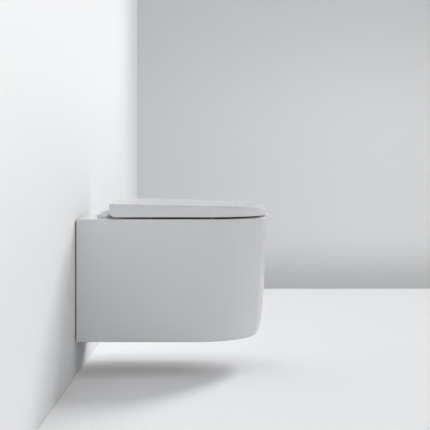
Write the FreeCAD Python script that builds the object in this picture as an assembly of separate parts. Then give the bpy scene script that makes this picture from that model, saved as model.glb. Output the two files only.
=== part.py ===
import FreeCAD, Part
import math
import os

os.makedirs("parts", exist_ok=True)

V = FreeCAD.Vector

# Frame, in mm: X runs across the toilet, the wall is the plane Y = 0 and the bowl stands out
# towards -Y, Z is up. The origin lies on the wall midway between the two wall studs.

# Sizes of the whole toilet
pan_width = 360.0
projection = 527.0
pan_height = 337.0
rim_above_studs = 80.0
mat_thickness = 3.0
shoulder_share = 0.6594
nose_roundness = 2.3

# Wall connections
stud_spacing = 180.0
stud_radius = 6.0
inlet_above_studs = 35.0
outlet_below_studs = 100.0
flush_pipe_bore_radius = 22.6
inlet_hole_radius = 27.5
outlet_radius = 51.0
outlet_bore_radius = 42.0
outlet_recess = 10.0
outlet_length = 42.0

# Ceramic
ceramic_wall = 11.0
panel_thickness = 12.0
deck_thickness = 12.0
foot_return = 14.0
foot_thickness = 11.0
side_flange = 32.0
outlet_free_height = 69.0
rim_edge_radius = 4.0
foot_edge_radius = 3.0
bowl_wall = 10.0
bowl_half_width = 135.0
bowl_rear = 152.0
bowl_front_from_nose = 40.0
trap_bore_radius = 26.0
trap_wall = 10.0
trap_bend_radius = 48.0
trap_entry_below_studs = 165.0
trap_crest_below_studs = 53.0
trap_rise_angle = 65.0
seat_hole_radius = 8.0
stud_hole_radius = 10.0

# Sound mat
mat_inset = 4.0
mat_top_inset = 7.0

# Seat and lid
hinge_spacing = 155.0
puck_from_wall = 73.6
hinge_axis_from_wall = 107.0
hinge_axis_above_rim = 27.0
lid_rear_from_wall = 93.0
lid_inset = 0.8
lid_nose_inset = 0.0
lid_top_rear = 42.0
lid_fall = 8.6
lid_skirt_bottom = 5.5
lid_rear_bottom = 13.0
lid_wall = 5.0
lid_side_radius = 7.0
lid_nose_radius = 22.0
lid_rear_radius = 3.0
ring_gap = 2.2
ring_rear_from_wall = 129.0
ring_bottom = 6.0
ring_thickness = 16.0
ring_edge_radius = 5.0
ring_recess = 7.0
ring_recess_wall = 7.0
ring_open_half_width = 104.0
ring_open_rear = 208.0
ring_open_from_nose = 59.0
ring_bumper_from_side = 30.0
rear_bumper_from_wall = 205.0
front_bumper_from_nose = 152.0
lid_bumper_from_side = 58.0
lid_bumper_from_nose = 89.0

# Hinges
puck_radius = 25.0
puck_side_height = 7.5
puck_dome_height = 12.0
gasket_thickness = 1.0
base_thickness = 4.0
tongue_width = 18.0
tongue_thickness = 5.0
post_radius = 4.0
post_from_wall = 109.0
post_top = 21.0
pin_radius = 4.0
barrel_radius = 8.5
cartridge_radius = 6.4
block_width = 30.0
ear_width = 16.0
ear_gap = 1.5
block_front_reach = 9.0
pocket_above_rim = 12.0
pocket_height = 6.6
groove_above_rim = 14.4
groove_height = 2.0

# Clearances between moving or loose pieces
running_gap = 0.05
loose_gap = 0.4

rim_z = rim_above_studs
bottom_z = rim_z - pan_height
rear_y = -mat_thickness
nose_y = -projection
bowl_front = projection - bowl_front_from_nose
ring_open_front = projection - ring_open_from_nose
shoulder_y = rear_y - shoulder_share * (projection - mat_thickness)
half_width = pan_width / 2
stud_x = stud_spacing / 2
puck_x = hinge_spacing / 2
axis_y = -hinge_axis_from_wall
axis_z = rim_z + hinge_axis_above_rim
inlet_z = inlet_above_studs
outlet_z = -outlet_below_studs


def box(x0, x1, y0, y1, z0, z1):
    size = (abs(x1 - x0), abs(y1 - y0), abs(z1 - z0))
    return Part.makeBox(*size, V(min(x0, x1), min(y0, y1), min(z0, z1)))


def rod_x(radius, x0, x1, y, z):
    return Part.makeCylinder(radius, abs(x1 - x0), V(min(x0, x1), y, z), V(1, 0, 0))


def rod_y(radius, y0, y1, x, z):
    return Part.makeCylinder(radius, abs(y1 - y0), V(x, min(y0, y1), z), V(0, 1, 0))


def rod_z(radius, z0, z1, x, y):
    return Part.makeCylinder(radius, abs(z1 - z0), V(x, y, min(z0, z1)), V(0, 0, 1))


def fuse(first, *others):
    return first.multiFuse(list(others)).removeSplitter()


def biggest(shape):
    return max(shape.Solids, key=lambda solid: solid.Volume)


def prism_x(points, x0, x1):
    corners = [V(x0, y, z) for y, z in points]
    wire = Part.makePolygon(corners + corners[:1])
    return Part.Face(wire).extrude(V(x1 - x0, 0, 0))


def turned(profile, centre, axis):
    """A body of revolution. The profile is a list of (distance along the axis, radius)."""
    across = V(0, 0, 1) if abs(axis.z) < 0.5 else V(1, 0, 0)
    corners = [centre + axis * along + across * radius for along, radius in profile]
    wire = Part.makePolygon(corners + corners[:1])
    return Part.Face(wire).revolve(centre, axis, 360)


def hexagon_y(across_flats, y0, y1, x, z):
    reach = across_flats / math.sqrt(3)
    corners = []
    for step in range(6):
        angle = math.radians(60 * step + 30)
        corners.append(V(x + reach * math.cos(angle), y0, z + reach * math.sin(angle)))
    wire = Part.makePolygon(corners + corners[:1])
    return Part.Face(wire).extrude(V(0, y1 - y0, 0))


def d_wire(half, rear, shoulder, nose, z, roundness=nose_roundness):
    """The toilet's plan outline: straight sides to the shoulder, then half a superellipse."""
    points = []
    steps = 20
    for step in range(steps + 1):
        angle = math.pi * step / steps
        cosine = math.cos(angle)
        sine = math.sin(angle)
        x = math.copysign(abs(cosine) ** (2 / roundness), cosine) * half
        y = shoulder - (shoulder - nose) * abs(sine) ** (2 / roundness)
        if step in (0, steps):
            y = shoulder
        points.append(V(x, y, z))
    points[steps // 2] = V(0, nose, z)
    curve = Part.BSplineCurve()
    curve.interpolate(Points=points, InitialTangent=V(0, -1, 0), FinalTangent=V(0, 1, 0))
    left = Part.makeLine(V(-half, shoulder, z), V(-half, rear, z))
    back = Part.makeLine(V(-half, rear, z), V(half, rear, z))
    right = Part.makeLine(V(half, rear, z), V(half, shoulder, z))
    return Part.Wire([curve.toShape(), left, back, right])


def egg_wire(half, rear, front, z, widest=0.48, roundness=2.15):
    """A closed egg outline, widest at a share of its length from the rear."""
    middle = rear + (front - rear) * widest
    points = []
    steps = 36
    for step in range(steps):
        angle = 2 * math.pi * step / steps
        cosine = math.cos(angle)
        sine = math.sin(angle)
        reach = (middle - front) if sine > 0 else (rear - middle)
        x = math.copysign(abs(cosine) ** (2 / roundness), cosine) * half
        y = middle - math.copysign(abs(sine) ** (2 / roundness), sine) * reach
        points.append(V(x, y, z))
    curve = Part.BSplineCurve()
    curve.interpolate(Points=points, PeriodicFlag=True)
    return Part.Wire([curve.toShape()])


def ellipse_wire(half_x, half_z, y, z):
    if abs(half_x - half_z) < 1e-6:
        return Part.Wire([Part.Circle(V(0, y, z), V(0, -1, 0), half_x).toShape()])
    shape = Part.Ellipse(V(half_x, y, z), V(0, y, z + half_z), V(0, y, z))
    return Part.Wire([shape.toShape()])


def loft(wires, ruled=False):
    return Part.makeLoft(wires, True, ruled)


def save(node, *solids):
    found = []
    for shape in solids:
        found += shape.Solids
    shape = found[0] if len(found) == 1 else Part.makeCompound(found)
    shape.exportStep("parts/" + node + ".step")
    print(node, len(found), round(sum(s.Volume for s in found) / 1000, 1), "cm3")


# Ceramic pan: the nose is upright under the rim, then leans back towards the foot
nose_slope = 22.5
nose_bend_share = 0.235
nose_bend_width = 0.12
foot_nose_rise = 80.0
foot_nose_depth = 18.5
foot_shoulder_back = 26.0
foot_roundness = 2.0


def corner_inset(radius, depth):
    """How far a quarter-round edge lies inside its body, at a depth from the body's end."""
    if depth >= radius:
        return 0.0
    return radius - math.sqrt(radius * radius - (radius - depth) ** 2)


def lean_at(share):
    """A hyperbola from upright to the full slope."""

    def curve(at):
        past = at - nose_bend_share
        return nose_slope / 2 * (past + math.sqrt(past * past + nose_bend_width**2))

    return curve(share) - curve(0)


def pan_wire(inset, height, rear):
    """The skirt's outline at a height above its foot, with the foot's and the rim's rounding."""
    drop = pan_height - height
    tuck = corner_inset(foot_nose_rise, height) / foot_nose_rise
    nose = lean_at(drop / pan_height) + tuck * foot_nose_depth
    shoulder = shoulder_y + tuck * foot_shoulder_back
    roundness = nose_roundness + tuck * (foot_roundness - nose_roundness)
    round_in = corner_inset(foot_edge_radius, height)
    round_in += corner_inset(rim_edge_radius, drop)
    half = half_width - inset - round_in
    nose_at = nose_y + nose + inset + corner_inset(rim_edge_radius, drop)
    return d_wire(half, rear, shoulder, nose_at, bottom_z + height, roundness)


body_heights = [foot_edge_radius, 6.5, 11.0, 17.0, 25.0, 35.0, 48.0, 63.0, foot_nose_rise]
body_heights += [pan_height * share for share in (0.3, 0.43, 0.55, 0.65, 0.75, 0.87)]
body_heights += [pan_height - rim_edge_radius]
foot_heights = [foot_edge_radius * share for share in (0, 0.05, 0.2, 0.5, 1)]
rim_heights = [pan_height - rim_edge_radius * share for share in (1, 0.5, 0.2, 0.05, 0)]
outer = fuse(
    loft([pan_wire(0, height, rear_y + 30) for height in body_heights], True),
    loft([pan_wire(0, height, rear_y + 30) for height in foot_heights], True),
    loft([pan_wire(0, height, rear_y + 30) for height in rim_heights], True),
)
outer = outer.common(box(-half_width - 9, half_width + 9, rear_y, nose_y - 9, bottom_z - 9, rim_z + 9))
outer = biggest(outer)

cavity_top = rim_z - deck_thickness
cavity_foot = bottom_z + foot_thickness
cavity_rear = rear_y - panel_thickness


cavity_heights = [foot_thickness, 17.0, 25.0, 35.0, 48.0, 63.0, foot_nose_rise]
cavity_heights += [pan_height * share for share in (0.34, 0.55, 0.7, 0.85)]
cavity_heights += [pan_height - deck_thickness]
cavity = loft([pan_wire(ceramic_wall, height, cavity_rear) for height in cavity_heights], True)
foot_inset = ceramic_wall + foot_return
foot_half = half_width - foot_inset
foot_nose = nose_y + lean_at(1) + foot_nose_depth + foot_inset
foot_shoulder = shoulder_y + foot_shoulder_back
foot_opening = loft(
    [
        d_wire(foot_half, cavity_rear, foot_shoulder, foot_nose, height, foot_roundness)
        for height in (bottom_z - 5, cavity_foot + 1)
    ]
)
free_top = outlet_z + outlet_free_height
rear_gate_x = half_width - side_flange
rear_gate = box(-rear_gate_x, rear_gate_x, rear_y + 5, cavity_rear - 8, bottom_z - 5, free_top)

shell = outer.cut(cavity)
shell = shell.cut(foot_opening)
shell = shell.cut(rear_gate)

# Bowl: share of the half width, rear and front setback, and depth of sections of its inside
sump_depth = rim_above_studs + trap_entry_below_studs + trap_bore_radius
bowl_sections = [
    (1.00, 0, 0, -2.0),
    (1.00, 0, 0, 8.0),
    (0.98, 2, 5, 32.0),
    (0.87, 20, 25, 85.0),
    (0.65, 53, 73, 140.0),
    (0.46, 82, 115, 190.0),
    (0.37, 97, 136, 225.0),
    (0.33, 104, 143, 250.0),
    (0.30, 109, 149, 263.0),
    (0.22, 122, 164, sump_depth),
]


def bowl_at(depth):
    """The bowl's section at a depth below the rim, on a smooth curve through the sections."""
    rows = bowl_sections
    index = 0
    while index < len(rows) - 2 and depth > rows[index + 1][3]:
        index += 1
    before = rows[max(index - 1, 0)]
    low, high = rows[index], rows[index + 1]
    after = rows[min(index + 2, len(rows) - 1)]
    span = high[3] - low[3]
    at = (depth - low[3]) / span
    found = []
    for column in range(3):
        slope_low = (high[column] - before[column]) / max(high[3] - before[3], span) * span
        slope_high = (after[column] - low[column]) / max(after[3] - low[3], span) * span
        value = low[column] * (1 + 2 * at) * (1 - at) ** 2
        value += high[column] * at * at * (3 - 2 * at)
        value += slope_low * at * (1 - at) ** 2
        value += slope_high * at * at * (at - 1)
        found.append(value)
    return found


def bowl(grow, depths, sink):
    wires = []
    for depth in depths:
        share, rear_in, front_in = bowl_at(min(depth, sump_depth))
        rear = -(bowl_rear + rear_in) + grow
        front = -(bowl_front - front_in) - grow
        z = rim_z - depth - sink * depth / sump_depth
        wires.append(egg_wire(bowl_half_width * share + grow, rear, front, z))
    return loft(wires, True)


sump_depths = [235.0, 250.0, 259.0, 266.0, sump_depth]
bowl_depths = [8.0, 20.0, 34.0, 50.0, 68.0, 87.0, 106.0, 124.0, 142.0, 160.0, 178.0, 197.0, 216.0]
bowl_void = bowl(0, [-2.0] + bowl_depths + sump_depths, 0)
bowl_body = bowl(bowl_wall, bowl_depths + sump_depths, bowl_wall)


# Trapway: a pipe from the sump up over the crest and down to the outlet's axis
def trap_path():
    bend = trap_bend_radius
    rise = math.radians(trap_rise_angle)
    fall = math.radians(45)
    entry_z = -trap_entry_below_studs
    crest_z = -trap_crest_below_studs
    drop = crest_z - outlet_z
    end_y = -34.0
    fall_line = (drop - 2 * bend * (1 - math.cos(fall))) / math.sin(fall)
    crest_y = end_y - 10 - 2 * bend * math.sin(fall) - fall_line * math.cos(fall)
    rise_line = (crest_z - entry_z - 2 * bend * (1 - math.cos(rise))) / math.sin(rise)
    foot_y = crest_y - 2 * bend * math.sin(rise) - rise_line * math.cos(rise)

    def on(centre_y, centre_z, angle):
        return V(0, centre_y + bend * math.sin(angle), centre_z + bend * math.cos(angle))

    up_y, up_z = foot_y, entry_z + bend
    over_y, over_z = crest_y, crest_z - bend
    out_y, out_z = end_y - 10, outlet_z + bend
    start = V(0, foot_y - 60, entry_z)
    a1 = on(up_y, up_z, math.pi)
    a2 = on(up_y, up_z, math.pi - rise / 2)
    a3 = on(up_y, up_z, math.pi - rise)
    b1 = on(over_y, over_z, -rise)
    b2 = on(over_y, over_z, (fall - rise) / 2)
    b3 = on(over_y, over_z, fall)
    c1 = on(out_y, out_z, math.pi + fall)
    c2 = on(out_y, out_z, math.pi + fall / 2)
    c3 = on(out_y, out_z, math.pi)
    end = V(0, end_y, outlet_z)
    edges = [
        Part.makeLine(start, a1),
        Part.Arc(a1, a2, a3).toShape(),
        Part.makeLine(a3, b1),
        Part.Arc(b1, b2, b3).toShape(),
        Part.makeLine(b3, c1),
        Part.Arc(c1, c2, c3).toShape(),
        Part.makeLine(c3, end),
    ]
    return Part.Wire(edges), start


path, path_start = trap_path()


def pipe(radius):
    ring = Part.Wire([Part.Circle(path_start, V(0, 1, 0), radius).toShape()])
    return path.makePipeShell([ring], True, False)


trap_body = pipe(trap_bore_radius + trap_wall)
trap_void = pipe(trap_bore_radius)

outlet_end = -outlet_recess
outlet_root = outlet_end - outlet_length
outlet_axis = V(0, -1, 0)
outlet_at = V(0, 0, outlet_z)
spigot_body = turned(
    [
        (-outlet_end, 0),
        (-outlet_end, outlet_radius),
        (-outlet_root, outlet_radius),
        (-outlet_root + 38, trap_bore_radius + 2),
        (-outlet_root + 38, 0),
    ],
    outlet_at,
    outlet_axis,
)
spigot_void = turned(
    [
        (-outlet_end - 5, 0),
        (-outlet_end - 5, outlet_bore_radius),
        (-outlet_root, outlet_bore_radius),
        (-outlet_root + 26, trap_bore_radius),
        (-outlet_root + 26, 0),
    ],
    outlet_at,
    outlet_axis,
)

# Flush duct: round at the wall, flat where it enters the bowl under the rim
duct_mid = rear_y - 56.0
duct_end = -(bowl_rear + 6.0)
duct_z = rim_z - 38.0
duct_body = fuse(
    rod_y(inlet_hole_radius + 9.0, rear_y - 1, duct_mid, 0, inlet_z),
    loft(
        [
            ellipse_wire(inlet_hole_radius + 9.0, inlet_hole_radius + 9.0, duct_mid, inlet_z),
            ellipse_wire(58.0, 22.0, duct_end, duct_z),
        ]
    ),
)
duct_void = fuse(
    rod_y(inlet_hole_radius, rear_y + 5, duct_mid, 0, inlet_z),
    loft(
        [
            ellipse_wire(inlet_hole_radius, inlet_hole_radius, duct_mid, inlet_z),
            ellipse_wire(48.0, 12.0, duct_end - 14, duct_z),
        ]
    ),
)

bosses = []
for side in (-1, 1):
    bosses.append(rod_z(seat_hole_radius + 9, cavity_top - 8, rim_z - 1, side * puck_x, -puck_from_wall))
    bosses.append(rod_y(stud_hole_radius + 13, rear_y - 1, cavity_rear - 3, side * stud_x, 0))

casting = shell.multiFuse([bowl_body, trap_body, spigot_body, duct_body] + bosses)
casting = biggest(casting)
casting = casting.cut(bowl_void)
casting = casting.cut(trap_void)
casting = casting.cut(spigot_void)
casting = casting.cut(duct_void)
for side in (-1, 1):
    hole = rod_z(seat_hole_radius, cavity_top - 20, rim_z + 5, side * puck_x, -puck_from_wall)
    casting = casting.cut(hole)
    hole = rod_y(stud_hole_radius, rear_y + 5, cavity_rear - 20, side * stud_x, 0)
    casting = casting.cut(hole)
ceramic_pan = biggest(casting)
save("ceramic_pan", ceramic_pan)

# Sound mat, cut out around the outlet, the inlet and the studs
mat = box(
    -half_width + mat_inset,
    half_width - mat_inset,
    0,
    rear_y,
    bottom_z + mat_inset,
    rim_z - mat_top_inset,
)
mat = mat.makeFillet(6.0, [e for e in mat.Edges if abs(e.BoundBox.YMax - e.BoundBox.YMin) > 1])
mat = mat.cut(box(-rear_gate_x, rear_gate_x, 5, -20, bottom_z - 5, free_top))
mat = mat.cut(rod_y(inlet_hole_radius + 3, 5, -20, 0, inlet_z))
for side in (-1, 1):
    mat = mat.cut(rod_y(stud_hole_radius + 1, 5, -20, side * stud_x, 0))
save("sound_mat", mat)

# Wall fixings: sleeve, washer and nut on each stud
sleeve_flange = 3.0
washer_thickness = 2.5
nut_thickness = 10.0
boss_face = cavity_rear - 3
sleeves = []
washers = []
nuts = []
for side in (-1, 1):
    x = side * stud_x
    flange_end = boss_face - sleeve_flange
    washer_end = flange_end - washer_thickness
    sleeve = fuse(
        rod_y(stud_hole_radius - loose_gap, 0, boss_face, x, 0),
        rod_y(stud_hole_radius + 6, boss_face, flange_end, x, 0),
    )
    sleeves.append(sleeve.cut(rod_y(stud_radius + 0.5, 5, flange_end - 5, x, 0)))
    washer = rod_y(stud_radius + 8, flange_end, washer_end, x, 0)
    washers.append(washer.cut(rod_y(stud_radius + 0.5, 0, washer_end - 5, x, 0)))
    nut = hexagon_y(stud_radius * 3, washer_end, washer_end - nut_thickness, x, 0)
    cone = turned(
        [
            (-washer_end, 0),
            (-washer_end, stud_radius * 1.62),
            (-washer_end + 1.2, stud_radius * 1.8),
            (-washer_end + nut_thickness - 1.2, stud_radius * 1.8),
            (-washer_end + nut_thickness, stud_radius * 1.62),
            (-washer_end + nut_thickness, 0),
        ],
        V(x, 0, 0),
        V(0, -1, 0),
    )
    nut = nut.common(cone)
    nuts.append(nut.cut(rod_y(stud_radius + 0.1, 0, washer_end - nut_thickness - 5, x, 0)))
save("stud_sleeves", *sleeves)
save("stud_washers", *washers)
save("stud_nuts", *nuts)

# Rubber seal in the flush inlet, with two lips outside and a collar inside the hole's mouth
seal_length = 26.0
seal_body = turned(
    [
        (-rear_y, flush_pipe_bore_radius),
        (-rear_y, inlet_hole_radius - 0.3),
        (-rear_y + 6, inlet_hole_radius - 0.3),
        (-rear_y + 7, inlet_hole_radius - 1.6),
        (-rear_y + 11, inlet_hole_radius - 1.6),
        (-rear_y + 12, inlet_hole_radius - 0.3),
        (-rear_y + 15, inlet_hole_radius - 0.3),
        (-rear_y + 16, inlet_hole_radius - 1.6),
        (-rear_y + 20, inlet_hole_radius - 1.6),
        (-rear_y + 21, inlet_hole_radius - 0.3),
        (-rear_y + seal_length, inlet_hole_radius - 0.3),
        (-rear_y + seal_length, flush_pipe_bore_radius),
    ],
    V(0, 0, inlet_z),
    V(0, -1, 0),
)
save("inlet_seal", seal_body)

# Hinge bases, bolted down through the ceramic
gasket_top = rim_z + gasket_thickness
base_top = gasket_top + base_thickness
bolt_radius = 3.0
cap_wall = 1.5
cap_inner = puck_radius - cap_wall - 0.8
tongue_end = -(post_from_wall + 9.0)
tongue_bottom = rim_z + 1.0
tongue_top = tongue_bottom + tongue_thickness
slot_top = tongue_top + 0.4


def dome(radius, side_top, crown_top, bottom, x):
    """A puck: an upright side and a spherical crown."""
    rise = crown_top - side_top
    sphere_radius = (radius * radius + rise * rise) / (2 * rise)
    ball = Part.makeSphere(sphere_radius, V(x, -puck_from_wall, crown_top - sphere_radius))
    return rod_z(radius, bottom, crown_top + 1, x, -puck_from_wall).common(ball)


gaskets = []
bolts = []
bolt_washers = []
expansions = []
sleeve_nuts = []
for side, word in ((-1, "left"), (1, "right")):
    x = side * puck_x
    gasket = rod_z(puck_radius - 1.5, rim_z, gasket_top, x, -puck_from_wall)
    gasket = gasket.cut(rod_z(seat_hole_radius, rim_z - 5, gasket_top + 5, x, -puck_from_wall))
    gaskets.append(gasket)

    base = fuse(
        rod_z(cap_inner - 0.3, gasket_top, base_top, x, -puck_from_wall),
        box(
            x - tongue_width / 2,
            x + tongue_width / 2,
            -puck_from_wall,
            tongue_end,
            tongue_bottom,
            tongue_top,
        ),
    )
    base = base.cut(
        box(
            x - tongue_width,
            x + tongue_width,
            -puck_from_wall + cap_inner - 6,
            -puck_from_wall - cap_inner + 6,
            base_top,
            base_top + 9,
        )
    )
    corners = [
        e
        for e in base.Edges
        if abs(e.BoundBox.YMin - tongue_end) < 0.01
        and abs(e.BoundBox.YMax - tongue_end) < 0.01
        and e.BoundBox.ZLength > 1
    ]
    base = base.makeFillet(tongue_width * 0.35, corners)
    base = base.cut(rod_z(bolt_radius + 0.3, rim_z - 5, base_top + 9, x, -puck_from_wall))
    base = base.cut(rod_z(post_radius + 0.02, rim_z - 5, tongue_top + 9, x, -post_from_wall))
    save("hinge_base_" + word, base)

    cap = dome(puck_radius, rim_z + puck_side_height, rim_z + puck_dome_height, gasket_top, x)
    inside = dome(
        cap_inner,
        rim_z + puck_side_height - cap_wall + 0.6,
        rim_z + puck_dome_height - cap_wall,
        gasket_top - 5,
        x,
    )
    cap = cap.cut(inside)
    slot = box(
        x - tongue_width / 2 - 0.4,
        x + tongue_width / 2 + 0.4,
        -puck_from_wall - cap_inner + 6,
        -puck_from_wall - puck_radius - 5,
        gasket_top - 5,
        slot_top,
    )
    cap = biggest(cap.cut(slot))
    save("hinge_cap_" + word, cap)

    groove_low = rim_z + groove_above_rim
    groove_high = groove_low + groove_height
    post_z = rim_z + post_top
    post = turned(
        [
            (tongue_bottom, 0),
            (tongue_bottom, post_radius),
            (groove_low, post_radius),
            (groove_low, post_radius - 0.9),
            (groove_high, post_radius - 0.9),
            (groove_high, post_radius),
            (post_z - 1.2, post_radius),
            (post_z, post_radius - 1.4),
            (post_z, 0),
        ],
        V(x, -post_from_wall, 0),
        V(0, 0, 1),
    )
    save("hinge_post_" + word, post)

    head_top = base_top + 1.2 + 3.2
    sleeve_end = cavity_top - 26.0
    nut_end = sleeve_end - 11.0
    bolt = fuse(
        rod_z(bolt_radius, nut_end - 4, base_top + 2, x, -puck_from_wall),
        rod_z(bolt_radius + 2.4, base_top + 1.2, head_top, x, -puck_from_wall),
    )
    drive = rod_z(1.8, head_top - 1.8, head_top + 5, x, -puck_from_wall)
    bolts.append(bolt.cut(drive))
    washer = rod_z(bolt_radius + 4.5, base_top, base_top + 1.2, x, -puck_from_wall)
    hole = rod_z(bolt_radius + 0.2, base_top - 5, base_top + 5, x, -puck_from_wall)
    bolt_washers.append(washer.cut(hole))
    sleeve = fuse(
        rod_z(seat_hole_radius - loose_gap, sleeve_end, rim_z - 0.5, x, -puck_from_wall),
        rod_z(seat_hole_radius + 1.5, sleeve_end, cavity_top - 8.5, x, -puck_from_wall),
    )
    hole = rod_z(bolt_radius + 0.2, sleeve_end - 5, rim_z + 5, x, -puck_from_wall)
    expansions.append(sleeve.cut(hole))
    nut = turned(
        [
            (-sleeve_end, bolt_radius + 0.05),
            (-sleeve_end, seat_hole_radius + 0.8),
            (-nut_end - 5, seat_hole_radius + 0.8),
            (-nut_end, seat_hole_radius - 1.5),
            (-nut_end, bolt_radius + 0.05),
        ],
        V(x, -puck_from_wall, 0),
        V(0, 0, -1),
    )
    sleeve_nuts.append(nut)
save("hinge_gaskets", *gaskets)
save("hinge_bolts", *bolts)
save("bolt_washers", *bolt_washers)
save("expansion_sleeves", *expansions)
save("sleeve_nuts", *sleeve_nuts)

# Hinge blocks that drop on the posts, with clip, button and pin
block_rear = axis_y + 5.5
block_front = axis_y - block_front_reach
block_low = tongue_top + 2.6
pocket_low = rim_z + pocket_above_rim
pocket_high = pocket_low + pocket_height
pocket_half = 8.6
pocket_front = block_front + 2.4
clip_z = rim_z + groove_above_rim + groove_height / 2
wire_radius = 0.7
pin_reach = block_width / 2 + ear_gap + ear_width
clips = []
for side, word in ((-1, "left"), (1, "right")):
    x = side * puck_x
    body = fuse(
        box(x - block_width / 2, x + block_width / 2, block_rear, block_front, block_low, axis_z),
        rod_x(barrel_radius, x - block_width / 2, x + block_width / 2, axis_y, axis_z),
    )
    top_cut = box(
        x - block_width, x + block_width, axis_y - barrel_radius, block_front - 5, axis_z - 3, axis_z + 9
    )
    body = body.cut(top_cut.cut(rod_x(barrel_radius, x - 40, x + 40, axis_y, axis_z)))
    body = body.cut(rod_x(pin_radius + 0.02, x - 40, x + 40, axis_y, axis_z))
    post_hole_top = rim_z + post_top + loose_gap
    post_hole = rod_z(post_radius + running_gap, block_low - 5, post_hole_top, x, -post_from_wall)
    body = body.cut(post_hole)
    body = body.cut(
        box(x - pocket_half, x + pocket_half, block_rear + 5, pocket_front, pocket_low, pocket_high)
    )
    save("hinge_block_" + word, biggest(body))

    button_front = block_rear - 1.8
    leg_in = post_radius + 1.7
    button = box(
        x - pocket_half + 0.3,
        x + pocket_half - 0.3,
        block_rear,
        button_front,
        pocket_low + 0.3,
        pocket_high - 0.3,
    )
    legs = []
    for way in (-1, 1):
        legs.append(
            box(
                x + way * leg_in,
                x + way * (pocket_half - 0.3),
                block_rear,
                block_front + 5.2,
                pocket_low + 0.3,
                pocket_high - 0.3,
            )
        )
    save("release_button_" + word, fuse(button, *legs))

    groove = post_radius - 0.9
    arm = groove + wire_radius + 0.05
    wire_path = Part.Wire(
        [
            Part.makeLine(V(x - arm, -post_from_wall + 3.5, clip_z), V(x - arm, -post_from_wall, clip_z)),
            Part.Arc(
                V(x - arm, -post_from_wall, clip_z),
                V(x, -post_from_wall - arm, clip_z),
                V(x + arm, -post_from_wall, clip_z),
            ).toShape(),
            Part.makeLine(V(x + arm, -post_from_wall, clip_z), V(x + arm, -post_from_wall + 3.5, clip_z)),
        ]
    )
    start = Part.Circle(V(x - arm, -post_from_wall + 3.5, clip_z), V(0, 1, 0), wire_radius)
    clips.append(wire_path.makePipeShell([Part.Wire([start.toShape()])], True, False))

    pin = rod_x(pin_radius, x - pin_reach, x + pin_reach, axis_y, axis_z)
    pin = pin.makeChamfer(0.6, [e for e in pin.Edges if isinstance(e.Curve, Part.Circle)])
    save("hinge_pin_" + word, pin)
save("post_clips", *clips)

# Where the ears sit across each hinge: the ring's outside the block, the lid's inside
ring_ear_in = puck_x + block_width / 2 + ear_gap
ring_ear_out = ring_ear_in + ear_width
lid_ear_out = puck_x - block_width / 2 - ear_gap
lid_ear_in = lid_ear_out - ear_width

# Seat ring
ring_top = rim_z + ring_bottom + ring_thickness
ring_low = rim_z + ring_bottom
ring_inset = lid_inset + lid_wall + ring_gap


def rounded_steps(radius, depth):
    """Depth below the top face and inset of each section of a rounded edge."""
    steps = []
    for angle in (0, 12, 27, 45, 67, 90):
        turn = math.radians(angle)
        steps.append((radius * (1 - math.cos(turn)), radius * (1 - math.sin(turn))))
    steps.append((depth, 0.0))
    return steps


ring_wires = []
hole_wires = []
for depth, inset in rounded_steps(ring_edge_radius, ring_thickness):
    z = ring_top - depth
    ring_wires.append(
        d_wire(
            half_width - ring_inset - inset,
            -ring_rear_from_wall - inset,
            shoulder_y,
            nose_y + ring_inset + inset,
            z,
        )
    )
    hole_wires.append(
        egg_wire(ring_open_half_width + inset, -ring_open_rear + inset, -ring_open_front - inset, z, 0.5)
    )
ring = loft(ring_wires, True).cut(loft(hole_wires, True))
recess_top = ring_low + ring_recess
recess_nose = nose_y + ring_inset + ring_recess_wall
recess_half = half_width - ring_inset - ring_recess_wall
recess_hole = ring_open_half_width + ring_recess_wall
recess_outside = []
recess_inside = []
for z in (ring_low - 2, recess_top):
    recess_outside.append(
        d_wire(recess_half, -ring_rear_from_wall - 30, shoulder_y, recess_nose, z)
    )
    recess_inside.append(
        egg_wire(
            recess_hole, -ring_open_rear + ring_recess_wall, -ring_open_front - ring_recess_wall, z, 0.5
        )
    )
recess = loft(recess_outside, True).cut(loft(recess_inside, True))
ring_bumper_x = half_width - ring_bumper_from_side
bumper_spots = [(ring_bumper_x, -rear_bumper_from_wall), (ring_bumper_x, nose_y + front_bumper_from_nose)]
for spot_x, spot_y in bumper_spots:
    for side in (-1, 1):
        recess = recess.cut(rod_z(11.0, ring_low - 3, recess_top + 1, side * spot_x, spot_y))
ring = ring.cut(recess)
arms = []
for side in (-1, 1):
    x0 = side * ring_ear_in
    x1 = side * ring_ear_out
    arms.append(rod_x(barrel_radius, x0, x1, axis_y, axis_z))
    arms.append(
        prism_x(
            [
                (axis_y, axis_z - barrel_radius),
                (axis_y + 0.6, axis_z + barrel_radius - 0.1),
                (axis_y - 5.0, axis_z + barrel_radius - 1.8),
                (-ring_rear_from_wall - 6, ring_top - 1.0),
                (-ring_rear_from_wall - 6, ring_low + 4),
                (-ring_rear_from_wall - 1, ring_low + 1),
                (axis_y - 9.0, axis_z - barrel_radius - 1.5),
            ],
            x0,
            x1,
        )
    )
ring = biggest(ring.multiFuse(arms))
for side in (-1, 1):
    bore = rod_x(cartridge_radius, side * ring_ear_in, side * (ring_ear_out - 2), axis_y, axis_z)
    ring = ring.cut(bore)
    pin_hole = rod_x(pin_radius + 0.3, side * (ring_ear_in - 5), side * (ring_ear_out + 5), axis_y, axis_z)
    ring = ring.cut(pin_hole)


def cartridge(x0, x1):
    body = rod_x(cartridge_radius - 0.02, x0, x1, axis_y, axis_z)
    return body.cut(rod_x(pin_radius + running_gap, min(x0, x1) - 5, max(x0, x1) + 5, axis_y, axis_z))


save("ring_damper", cartridge(-ring_ear_in - 0.1, -ring_ear_out + 2.1))
save("ring_bush", cartridge(ring_ear_in + 0.1, ring_ear_out - 2.1))

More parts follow.
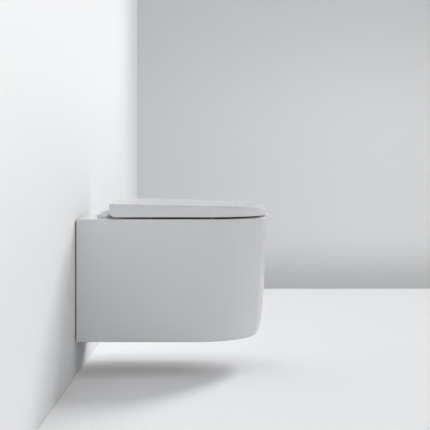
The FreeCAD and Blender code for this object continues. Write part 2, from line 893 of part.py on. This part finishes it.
# Lid: outside, inside, rear chamfer, notches for the hinge blocks and ears
lid_half = half_width - lid_inset
lid_rear = -lid_rear_from_wall
lid_nose = nose_y + lid_nose_inset
lid_length = lid_rear - lid_nose
lid_tilt = math.degrees(math.atan2(lid_fall, lid_length))
lid_top = rim_z + lid_top_rear


def lid_block(shrink, depths, side_radius, nose_radius, rear_radius):
    wires = []
    for depth in depths:
        wires.append(
            d_wire(
                lid_half - shrink - corner_inset(side_radius, depth),
                lid_rear - shrink - corner_inset(rear_radius, depth),
                shoulder_y,
                lid_nose + shrink + corner_inset(nose_radius, depth),
                lid_top - shrink - depth,
            )
        )
    block = loft(wires, True)
    block.rotate(V(0, lid_rear, lid_top), V(1, 0, 0), lid_tilt)
    return block


edge_depths = [0.0, 0.25, 0.9, 2.1, 4.2, 7.0, 11.5, 16.5, 22.0, 60.0]
lid = lid_block(0.0, edge_depths, lid_side_radius, lid_nose_radius, lid_rear_radius)
lid_hollow = lid_block(
    lid_wall, [0.0, 0.4, 1.3, 3.0, 6.0, 11.0, 17.0, 60.0], 3.0, lid_nose_radius - lid_wall, 1.0
)
lid = lid.common(
    box(-half_width - 9, half_width + 9, lid_rear + 9, nose_y - 9, rim_z + lid_skirt_bottom, lid_top + 9)
)
lid = lid.cut(lid_hollow)
lid = lid.cut(
    prism_x(
        [
            (lid_rear + 9, rim_z - 9),
            (lid_rear + 9, rim_z + lid_rear_bottom),
            (lid_rear, rim_z + lid_rear_bottom),
            (lid_rear - 7.8, rim_z + lid_skirt_bottom + 2.1),
            (lid_rear - 14.6, rim_z + lid_skirt_bottom),
            (lid_rear - 14.6, rim_z - 9),
        ],
        -half_width - 9,
        half_width + 9,
    )
)
ceiling_z = lid_top - lid_wall - 0.6
lid = biggest(lid)
lid_ears = []
for side in (-1, 1):
    x0 = side * lid_ear_in
    x1 = side * lid_ear_out
    notch = box(
        side * (lid_ear_out + 0.5),
        side * (ring_ear_out + 2.0),
        lid_rear + 9,
        lid_rear - lid_wall - 2,
        rim_z - 9,
        ceiling_z,
    )
    lid = lid.cut(notch)
    lid_ears.append(rod_x(barrel_radius, x0, x1, axis_y, axis_z))
    lid_ears.append(
        box(x0, x1, lid_rear - 2, axis_y - barrel_radius + 0.5, axis_z, lid_top - lid_wall + 1)
    )
lid = biggest(lid.multiFuse(lid_ears))
for side in (-1, 1):
    bore = rod_x(cartridge_radius, side * (lid_ear_in + 2), side * (lid_ear_out + 5), axis_y, axis_z)
    lid = lid.cut(bore)
    lid = lid.cut(rod_x(pin_radius + 0.3, side * (lid_ear_in - 5), side * (lid_ear_out + 5), axis_y, axis_z))
lid = biggest(lid)

save("lid_damper", cartridge(lid_ear_in + 2.1, lid_ear_out - 0.1))
save("lid_bush", cartridge(-lid_ear_in - 2.1, -lid_ear_out + 0.1))

# Rubber buffers under the ring and under the lid
bumper_radius = 7.0
ring_bumpers = []
for spot_x, spot_y in bumper_spots:
    for side in (-1, 1):
        foot = rod_z(bumper_radius, rim_z, ring_low, side * spot_x, spot_y)
        foot = foot.makeFillet(1.5, [e for e in foot.Edges if e.BoundBox.ZMax < rim_z + 0.1])
        ring_bumpers.append(fuse(foot, rod_z(2.5, ring_low - 1, ring_low + 6, side * spot_x, spot_y)))
ring_cut = ring
for stem in ring_bumpers:
    ring_cut = ring_cut.cut(stem)
save("seat_ring", biggest(ring_cut))
save("ring_bumpers", *ring_bumpers)

lid_bumper_y = nose_y + lid_bumper_from_nose
lid_bumper_x = half_width - lid_bumper_from_side
lid_bumpers = []
for side in (-1, 1):
    stem = rod_z(6.0, ring_top, lid_top, side * lid_bumper_x, lid_bumper_y)
    lid_bumpers.append(biggest(stem.common(lid_hollow)))
save("lid_bumpers", *lid_bumpers)
save("lid", lid)
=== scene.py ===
import math
import bmesh
import bpy
from mathutils import Matrix, Vector


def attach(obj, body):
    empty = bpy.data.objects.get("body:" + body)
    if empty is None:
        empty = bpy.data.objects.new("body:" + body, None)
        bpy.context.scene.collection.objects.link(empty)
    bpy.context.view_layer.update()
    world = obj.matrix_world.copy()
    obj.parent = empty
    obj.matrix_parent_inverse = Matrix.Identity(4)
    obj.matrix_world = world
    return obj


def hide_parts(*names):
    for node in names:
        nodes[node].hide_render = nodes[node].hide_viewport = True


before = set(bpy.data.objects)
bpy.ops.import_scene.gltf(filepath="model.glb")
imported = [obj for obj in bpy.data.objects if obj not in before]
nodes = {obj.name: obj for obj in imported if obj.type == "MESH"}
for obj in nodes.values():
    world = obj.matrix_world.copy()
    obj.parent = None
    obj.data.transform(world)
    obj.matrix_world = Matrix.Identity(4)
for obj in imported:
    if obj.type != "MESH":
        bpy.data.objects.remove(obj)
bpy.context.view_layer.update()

print("frame loaded:", len(nodes), "nodes")

# camera: level, square to the toilet's side, with the frame shifted off the optical axis
cameraSet = {
    "place": (-4.2, -0.4781, 0.3222),
    "focalPixels": 1467.0,
    "framePixels": 430.0,
    "axisPixel": (249.7, 130.9),
    "sensorWidth": 36.0,
    "farthest": 60.0,
}


def addCamera(s):
    data = bpy.data.cameras.new("sideCamera")
    data.sensor_width = s["sensorWidth"]
    data.lens = s["focalPixels"] / s["framePixels"] * s["sensorWidth"]
    data.shift_x = (s["framePixels"] / 2 - s["axisPixel"][0]) / s["framePixels"]
    data.shift_y = (s["axisPixel"][1] - s["framePixels"] / 2) / s["framePixels"]
    data.clip_end = s["farthest"]
    cam = bpy.data.objects.new("sideCamera", data)
    cam.location = s["place"]
    cam.rotation_euler = (math.radians(90), 0, math.radians(-90))
    bpy.context.scene.collection.objects.link(cam)
    bpy.context.scene.camera = cam


addCamera(cameraSet)
print("camera placed")


# node helpers: a value is a constant or another node's output
def feed(tree, value, target):
    if isinstance(value, bpy.types.NodeSocket):
        tree.links.new(value, target)
    else:
        target.default_value = value


def addNode(tree, kind, **inputs):
    made = tree.nodes.new(kind)
    for label, value in inputs.items():
        feed(tree, value, made.inputs[label.replace("_", " ")])
    return made


def newMaterial(name):
    mat = bpy.data.materials.new(name)
    mat.use_nodes = True
    mat.node_tree.nodes.clear()
    return mat, mat.node_tree


def mathNode(tree, operation, first, second):
    made = tree.nodes.new("ShaderNodeMath")
    made.operation = operation
    feed(tree, first, made.inputs[0])
    feed(tree, second, made.inputs[1])
    return made.outputs[0]


def mapNode(tree, value, start, end, low=0.0, high=1.0, shape="SMOOTHSTEP"):
    made = addNode(
        tree, "ShaderNodeMapRange", Value=value, From_Min=start, From_Max=end, To_Min=low, To_Max=high
    )
    made.interpolation_type = shape
    return made.outputs[0]


# where a colour mix keeps its two colours and its result
mixSockets = {"first": 6, "second": 7, "result": 2}


def mixColour(tree, mask, first, second):
    made = tree.nodes.new("ShaderNodeMix")
    made.data_type = "RGBA"
    feed(tree, mask, made.inputs["Factor"])
    for end, value in (("first", first), ("second", second)):
        colour = (*value, 1) if isinstance(value, tuple) else value
        feed(tree, colour, made.inputs[mixSockets[end]])
    return made.outputs[mixSockets["result"]]


def cloudNode(tree, spot, scale, detail):
    return addNode(tree, "ShaderNodeTexNoise", Vector=spot, Scale=scale, Detail=detail).outputs["Fac"]


def splitNode(tree, vector):
    return addNode(tree, "ShaderNodeSeparateXYZ", Vector=vector).outputs


# shared patterns, each a node group that is placed in the materials with its own values
patternSet = {
    "patchRange": (0.33, 0.67),
    "speckCore": 0.5,
    "strokeDetail": 3.0,
    "dustTilt": (0.2, 1.0),
    "dustRange": (0.35, 0.7),
    "dustDetail": 5.0,
}


def newGroup(name, inputs, output):
    group = bpy.data.node_groups.new(name, "ShaderNodeTree")
    group.interface.new_socket("Place", in_out="INPUT", socket_type="NodeSocketVector")
    for label in inputs:
        group.interface.new_socket(label, in_out="INPUT", socket_type="NodeSocketFloat")
    group.interface.new_socket(output, in_out="OUTPUT", socket_type="NodeSocketFloat")
    given = group.nodes.new("NodeGroupInput").outputs
    result = group.nodes.new("NodeGroupOutput").inputs[output]
    return group, given, result


def makePatches(s):
    group, given, result = newGroup("patches", ("Scale", "Detail", "Low", "High"), "Value")
    cloud = cloudNode(group, given["Place"], given["Scale"], given["Detail"])
    spread = mapNode(group, cloud, *s["patchRange"], given["Low"], given["High"], "LINEAR")
    feed(group, spread, result)
    return group


def makeWaves():
    group, given, result = newGroup("waves", ("Scale", "Detail"), "Value")
    feed(group, cloudNode(group, given["Place"], given["Scale"], given["Detail"]), result)
    return group


def makeSpecks(s):
    group, given, result = newGroup("specks", ("Scale", "Size"), "Mask")
    cells = addNode(group, "ShaderNodeTexVoronoi", Vector=given["Place"], Scale=given["Scale"])
    core = mathNode(group, "MULTIPLY", given["Size"], s["speckCore"])
    inside = mapNode(group, cells.outputs["Distance"], core, given["Size"], 1.0, 0.0, "LINEAR")
    feed(group, inside, result)
    return group


def makeStrokes(s):
    group, given, result = newGroup("strokes", ("Along", "Across"), "Value")
    parts = splitNode(group, given["Place"])
    scales = {"X": given["Along"], "Y": given["Along"], "Z": given["Across"]}
    stretched = {axis: mathNode(group, "MULTIPLY", parts[axis], scale) for axis, scale in scales.items()}
    joined = addNode(group, "ShaderNodeCombineXYZ", **stretched).outputs[0]
    feed(group, cloudNode(group, joined, 1.0, s["strokeDetail"]), result)
    return group


def makeDust(s):
    group, given, result = newGroup("dust", ("Scale", "Amount"), "Mask")
    facing = splitNode(group, group.nodes.new("ShaderNodeTexCoord").outputs["Normal"])
    upward = mapNode(group, facing["Z"], *s["dustTilt"])
    cloud = cloudNode(group, given["Place"], given["Scale"], s["dustDetail"])
    grains = mapNode(group, cloud, *s["dustRange"])
    settled = mathNode(group, "MULTIPLY", upward, grains)
    feed(group, mathNode(group, "MULTIPLY", settled, given["Amount"]), result)
    return group


patches = makePatches(patternSet)
waves = makeWaves()
specks = makeSpecks(patternSet)
strokes = makeStrokes(patternSet)
dust = makeDust(patternSet)


def placeGroup(tree, group, spot, **values):
    made = tree.nodes.new("ShaderNodeGroup")
    made.node_tree = group
    feed(tree, spot, made.inputs["Place"])
    for label, value in values.items():
        made.inputs[label].default_value = value
    return made.outputs[0]


def bumpNode(tree, height, distance, under):
    made = addNode(tree, "ShaderNodeBump", Strength=1.0, Distance=distance, Height=height)
    if under is not None:
        feed(tree, under, made.inputs["Normal"])
    return made.outputs[0]


# what each finish looks like: two tones, how rough it is where rubbed or not, and its relief in
# metres, with each ripple as its scale and its height
finishes = {
    "glaze": {
        "light": (0.80, 0.805, 0.813), "dark": (0.782, 0.789, 0.799), "toneScale": 3.0,
        "smooth": 0.10, "rough": 0.15, "rubScale": 9.0, "ripples": ((22.0, 1.2e-5), (260.0, 8e-7)),
        "speckScale": 60.0, "speckSize": 0.016, "speckColour": (0.62, 0.62, 0.61),
        "bareFrom": -0.0042, "bareBehind": -0.0036, "bareColour": (0.70, 0.68, 0.64), "bareRough": 0.8,
    },
    "seat_white": {
        "light": (0.80, 0.804, 0.812), "dark": (0.787, 0.793, 0.803), "toneScale": 5.0,
        "smooth": 0.20, "rough": 0.26, "rubScale": 9.0, "ripples": ((18.0, 3e-6), (800.0, 4e-7)),
    },
    "chrome": {
        "light": (0.74, 0.75, 0.765), "dark": (0.67, 0.68, 0.70), "toneScale": 45.0, "metallic": 1.0,
        "smooth": 0.05, "rough": 0.17, "rubScale": 80.0, "ripples": ((140.0, 2e-6),),
    },
    "steel": {
        "light": (0.61, 0.61, 0.60), "dark": (0.49, 0.49, 0.49), "toneScale": 55.0, "metallic": 1.0,
        "smooth": 0.24, "rough": 0.44, "rubScale": 130.0,
        "strokeDepth": 4e-6, "across": 2600.0, "along": 70.0,
    },
    "brass": {
        "light": (0.74, 0.57, 0.31), "dark": (0.47, 0.34, 0.19), "toneScale": 90.0, "metallic": 1.0,
        "smooth": 0.26, "rough": 0.5, "rubScale": 150.0,
        "strokeDepth": 5e-6, "across": 3000.0, "along": 90.0,
    },
    "nylon": {
        "light": (0.80, 0.79, 0.76), "dark": (0.73, 0.72, 0.685), "toneScale": 30.0, "subsurface": 0.12,
        "smooth": 0.38, "rough": 0.55, "rubScale": 60.0, "ripples": ((1100.0, 5e-6),),
    },
    "button_grey": {
        "light": (0.34, 0.35, 0.37), "dark": (0.28, 0.29, 0.305), "toneScale": 70.0,
        "smooth": 0.36, "rough": 0.55, "rubScale": 160.0, "ripples": ((1500.0, 1e-5),),
    },
    "damper_grey": {
        "light": (0.17, 0.175, 0.185), "dark": (0.13, 0.135, 0.14), "toneScale": 60.0,
        "smooth": 0.32, "rough": 0.5, "rubScale": 120.0, "ripples": ((1200.0, 6e-6),),
    },
    "black_rubber": {
        "light": (0.030, 0.030, 0.032), "dark": (0.017, 0.017, 0.018), "toneScale": 80.0,
        "smooth": 0.5, "rough": 0.74, "rubScale": 140.0, "ripples": ((700.0, 1.2e-5),),
        "dustScale": 260.0, "dustAmount": 0.30, "dustColour": (0.30, 0.29, 0.27),
    },
    "clear_gasket": {
        "light": (0.76, 0.79, 0.80), "dark": (0.68, 0.71, 0.73), "toneScale": 70.0, "transmission": 0.35,
        "smooth": 0.3, "rough": 0.46, "rubScale": 120.0, "ripples": ((900.0, 4e-6),),
    },
    "bumper_rubber": {
        "light": (0.55, 0.56, 0.57), "dark": (0.45, 0.46, 0.47), "toneScale": 90.0,
        "smooth": 0.5, "rough": 0.68, "rubScale": 200.0, "ripples": ((1300.0, 8e-6),),
        "dustScale": 300.0, "dustAmount": 0.15, "dustColour": (0.36, 0.35, 0.33),
    },
    "mat_foam": {
        "light": (0.21, 0.215, 0.22), "dark": (0.155, 0.158, 0.163), "toneScale": 26.0,
        "smooth": 0.84, "rough": 0.96, "rubScale": 40.0, "ripples": ((500.0, 3e-5),),
        "speckScale": 950.0, "speckSize": 0.46, "speckColour": (0.085, 0.087, 0.09), "pitDepth": 1.2e-4,
        "dustScale": 120.0, "dustAmount": 0.25, "dustColour": (0.34, 0.33, 0.31),
    },
}
everyFinish = {"bending": 1.5, "softDepth": 0.002, "toneDetail": 3.0, "rubDetail": 5.0, "rippleDetail": 1.0}


def surfaceFinish(name, s, shared):
    mat, tree = newMaterial(name)
    spot = tree.nodes.new("ShaderNodeTexCoord").outputs["Object"]
    tone = placeGroup(
        tree, patches, spot, Scale=s["toneScale"], Detail=shared["toneDetail"], Low=0.0, High=1.0
    )
    colour = mixColour(tree, tone, s["light"], s["dark"])
    rough = placeGroup(
        tree, patches, spot, Scale=s["rubScale"], Detail=shared["rubDetail"], Low=s["smooth"], High=s["rough"]
    )
    normal = None
    for scale, height in s.get("ripples", ()):
        ripple = placeGroup(tree, waves, spot, Scale=scale, Detail=shared["rippleDetail"])
        normal = bumpNode(tree, ripple, height, normal)
    if "strokeDepth" in s:
        lines = placeGroup(tree, strokes, spot, Across=s["across"], Along=s["along"])
        normal = bumpNode(tree, lines, s["strokeDepth"], normal)
    if "speckScale" in s:
        dots = placeGroup(tree, specks, spot, Scale=s["speckScale"], Size=s["speckSize"])
        colour = mixColour(tree, dots, colour, s["speckColour"])
        if "pitDepth" in s:
            normal = bumpNode(tree, mathNode(tree, "SUBTRACT", 1.0, dots), s["pitDepth"], normal)
    if "dustAmount" in s:
        settled = placeGroup(tree, dust, spot, Scale=s["dustScale"], Amount=s["dustAmount"])
        colour = mixColour(tree, settled, colour, s["dustColour"])
    if "bareBehind" in s:
        bare = mapNode(tree, splitNode(tree, spot)["Y"], s["bareFrom"], s["bareBehind"])
        colour = mixColour(tree, bare, colour, s["bareColour"])
        rough = mathNode(tree, "MAXIMUM", rough, mathNode(tree, "MULTIPLY", bare, s["bareRough"]))
    shader = addNode(
        tree, "ShaderNodeBsdfPrincipled", Base_Color=colour, Roughness=rough, Normal=normal,
        Metallic=s.get("metallic", 0.0), IOR=shared["bending"], Subsurface_Scale=shared["softDepth"],
        Subsurface_Weight=s.get("subsurface", 0.0), Transmission_Weight=s.get("transmission", 0.0),
    )
    addNode(tree, "ShaderNodeOutputMaterial", Surface=shader.outputs[0])
    return mat


finished = {slot: surfaceFinish(slot + "Finish", s, everyFinish) for slot, s in finishes.items()}
for node in nodes.values():
    node.material_slots[0].material = finished[node.data.materials[0].name.split(".")[0]]
print("finishes made:", len(finished))


def addObject(name, bm, mat):
    mesh = bpy.data.meshes.new(name)
    bm.to_mesh(mesh)
    bm.free()
    mesh.materials.append(mat)
    made = bpy.data.objects.new(name, mesh)
    bpy.context.scene.collection.objects.link(made)
    return made


# smooth copies of the casting and mouldings, welded so that light runs over them without a break
castings = {
    "panCasting": {"node": "ceramic_pan", "body": "pan", "slot": "glaze"},
    "lidMoulding": {"node": "lid", "body": "lid", "slot": "seat_white"},
    "ringMoulding": {"node": "seat_ring", "body": "ring", "slot": "seat_white"},
}
everyCasting = {"weldReach": 1e-6, "cutReach": 1e-7, "seamReach": 2e-6, "sharpAngle": 32.0}

# a flat face keeps its own shading up to its edge, and the rounding beside it bends to meet it;
# faces are in one plane when their normals and offsets agree to one step
flats = {"smallestArea": 4e-4, "turnSteps": 500.0, "offsetSteps": 4000.0, "strong": 16384, "weak": -16384}


def favourFlats(bm, s):
    strength = bm.faces.layers.int.new("__mod_weightednormals_faceweight")
    planes = {}
    for face in bm.faces:
        offset = face.normal.dot(face.verts[0].co)
        turn = (round(part * s["turnSteps"]) for part in face.normal)
        planes.setdefault((*turn, round(offset * s["offsetSteps"])), []).append(face)
    for faces in planes.values():
        flat = sum(face.calc_area() for face in faces) > s["smallestArea"]
        for face in faces:
            face[strength] = s["strong"] if flat else s["weak"]


def everything(bm):
    return [*bm.verts, *bm.edges, *bm.faces]


# every casting is the same on both sides, so its +X half is kept and mirrored
def mirrorHalf(bm, s):
    bmesh.ops.bisect_plane(
        bm, geom=everything(bm), dist=s["cutReach"], plane_co=(0, 0, 0), plane_no=(-1, 0, 0), clear_outer=True
    )
    bmesh.ops.mirror(bm, geom=everything(bm), axis="X", merge_dist=s["seamReach"])
    bmesh.ops.recalc_face_normals(bm, faces=bm.faces)


def castCopy(name, s, shared):
    bm = bmesh.new()
    bm.from_mesh(nodes[s["node"]].data)
    bmesh.ops.remove_doubles(bm, verts=bm.verts, dist=shared["weldReach"])
    mirrorHalf(bm, shared)
    limit = math.radians(shared["sharpAngle"])
    for face in bm.faces:
        face.smooth = True
    for edge in bm.edges:
        edge.smooth = len(edge.link_faces) == 2 and edge.calc_face_angle() < limit
    favourFlats(bm, flats)
    piece = addObject(name, bm, finished[s["slot"]])
    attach(piece, s["body"])
    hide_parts(s["node"])
    kept = piece.data.attributes.get("custom_normal")
    if kept:
        piece.data.attributes.remove(kept)
    shading = piece.modifiers.new("evenShading", "WEIGHTED_NORMAL")
    shading.keep_sharp = True
    shading.use_face_influence = True


for name, s in castings.items():
    castCopy(name, s, everyCasting)
print("castings smoothed")

# room: floor, the wall the toilet hangs on, and a wall far behind it; none blocks a view from behind.
# A painted-light fade is an axis, where it starts and ends, and the share of the glow at each end; the walls
# are also painted darker along one axis towards the corner or the floor
room = {
    "floorHeight": -0.350,
    "backWall": 2.05,
    "reach": 6.0,
    "wallGap": 0.0005,
    "floorPaint": {"colour": (0.725, 0.73, 0.738), "glow": 0.13},
    # the walls carry painted shade, a darker colour along one axis, and painted light, a glow faded along
    # other axes
    "wallPaint": {
        "colour": (0.79, 0.796, 0.804), "paintedShade": (0.66, 0.667, 0.675), "paintedShadeAlong": ("X", 1.35, 2.05),
        "glow": 0.17,
        "paintedLightFades": (("Z", -0.12, 0.62, 0.0, 1.0), ("X", 0.9, 1.95, 1.0, 0.0)),
    },
    "farWallPaint": {
        "colour": (0.70, 0.706, 0.714), "paintedShade": (0.60, 0.606, 0.614), "paintedShadeAlong": ("Z", -0.15, -0.35),
        "glow": 0.20,
        "paintedLightFades": (
            ("Y", 0.1, -1.1, 0.40, 1.0),
            ("Z", -0.36, -0.08, 0.35, 1.0),
            ("Z", 0.3, 0.95, 1.0, 0.4),
        ),
    },
}


def roomMaterial(name, s):
    mat, tree = newMaterial(name)
    parts = splitNode(tree, tree.nodes.new("ShaderNodeTexCoord").outputs["Object"])
    colour = (*s["colour"], 1)
    # painted shade: the wall colour is mixed towards a darker one along an axis, towards the corner or the
    # floor
    if "paintedShade" in s:
        axis, start, end = s["paintedShadeAlong"]
        colour = mixColour(tree, mapNode(tree, parts[axis], start, end), s["colour"], s["paintedShade"])
    paint = addNode(tree, "ShaderNodeBsdfDiffuse", Color=colour)
    seen = tree.nodes.new("ShaderNodeLightPath").outputs["Is Camera Ray"]
    level = mathNode(tree, "MULTIPLY", seen, s["glow"])
    # painted light and shade: each fade scales the glow along one axis, so the hanging wall is painted
    # lighter higher up and darker towards the corner, and the far wall lighter away from the corner and
    # darker near the floor and at its top
    for axis, start, end, low, high in s.get("paintedLightFades", ()):
        level = mathNode(tree, "MULTIPLY", level, mapNode(tree, parts[axis], start, end, low, high))
    glow = addNode(tree, "ShaderNodeEmission", Strength=level)
    shown = tree.nodes.new("ShaderNodeAddShader")
    feed(tree, paint.outputs[0], shown.inputs[0])
    feed(tree, glow.outputs[0], shown.inputs[1])
    clear = tree.nodes.new("ShaderNodeBsdfTransparent")
    mix = tree.nodes.new("ShaderNodeMixShader")
    feed(tree, tree.nodes.new("ShaderNodeNewGeometry").outputs["Backfacing"], mix.inputs[0])
    feed(tree, shown.outputs[0], mix.inputs[1])
    feed(tree, clear.outputs[0], mix.inputs[2])
    addNode(tree, "ShaderNodeOutputMaterial", Surface=mix.outputs[0])
    return mat


def roomPlane(name, size, turn, centre, mat):
    bm = bmesh.new()
    bmesh.ops.create_grid(bm, x_segments=1, y_segments=1, size=0.5)
    bmesh.ops.scale(bm, vec=(*size, 1), verts=bm.verts)
    bmesh.ops.rotate(bm, matrix=turn, verts=bm.verts)
    bmesh.ops.translate(bm, vec=centre, verts=bm.verts)
    plane = addObject(name, bm, mat)
    return plane


def addRoom(s):
    reach, low, back = s["reach"], s["floorHeight"], s["backWall"]
    middle = low + reach / 2
    across = back - reach
    quarter = math.radians(90)
    facingOut = Matrix.Rotation(quarter, 3, "X")
    facingCamera = Matrix.Rotation(-quarter, 3, "Y")
    paints = {paint: roomMaterial(paint, s[paint]) for paint in ("floorPaint", "wallPaint", "farWallPaint")}
    roomPlane(
        "floorPlane", (2 * reach, 2 * reach), Matrix.Identity(3), (across, -reach, low), paints["floorPaint"]
    )
    walls = (
        roomPlane(
            "hangingWall", (2 * reach, reach), facingOut, (across, s["wallGap"], middle), paints["wallPaint"]
        ),
        roomPlane(
            "farWall", (reach, 2 * reach), facingCamera, (back, -reach, middle), paints["farWallPaint"]
        ),
    )
    # two lamps stand behind the far wall and one behind the hanging wall
    for wall in walls:
        wall.visible_shadow = False


addRoom(room)
print("room built")

# lights: a high and a low key from the far side, fills from the nose, the camera and the rear, and a
# dim world. The keys don't show in reflections, where they would glare on the lid
lights = {
    "worldColour": (1.0, 1.0, 1.0),
    "worldStrength": 0.08,
    "lampDistance": 4.0,
    "lamps": {
        "highKey": {"azimuth": 29.0, "elevation": 41.0, "angle": 15.0, "strength": 1.05, "gleams": False},
        "lowKey": {"azimuth": 27.0, "elevation": 25.0, "angle": 15.0, "strength": 1.5, "gleams": False},
        "noseFill": {"azimuth": 90.0, "elevation": 5.0, "angle": 60.0, "strength": 1.12, "gleams": True},
        "sideFill": {"azimuth": 166.0, "elevation": 2.0, "angle": 70.0, "strength": 0.64, "gleams": True},
        "rearFill": {"azimuth": 262.0, "elevation": 3.0, "angle": 30.0, "strength": 0.42, "gleams": True},
    },
}


def softSun(name, s, distance):
    data = bpy.data.lights.new(name, "SUN")
    data.energy = s["strength"]
    data.angle = math.radians(s["angle"])
    lamp = bpy.data.objects.new(name, data)
    turn, lift = math.radians(s["azimuth"]), math.radians(s["elevation"])
    level = math.cos(lift)
    towards = Vector((math.cos(turn) * level, -math.sin(turn) * level, math.sin(lift)))
    lamp.rotation_euler = towards.to_track_quat("Z", "Y").to_euler()
    lamp.location = towards * distance
    lamp.visible_glossy = s["gleams"]
    bpy.context.scene.collection.objects.link(lamp)


def addLights(s):
    for name, lamp in s["lamps"].items():
        softSun(name, lamp, s["lampDistance"])
    world = bpy.data.worlds.new("studio")
    world.use_nodes = True
    background = world.node_tree.nodes["Background"]
    background.inputs["Color"].default_value = (*s["worldColour"], 1)
    background.inputs["Strength"].default_value = s["worldStrength"]
    bpy.context.scene.world = world


addLights(lights)
print("lights set")

bpy.context.scene.view_settings.view_transform = "Standard"
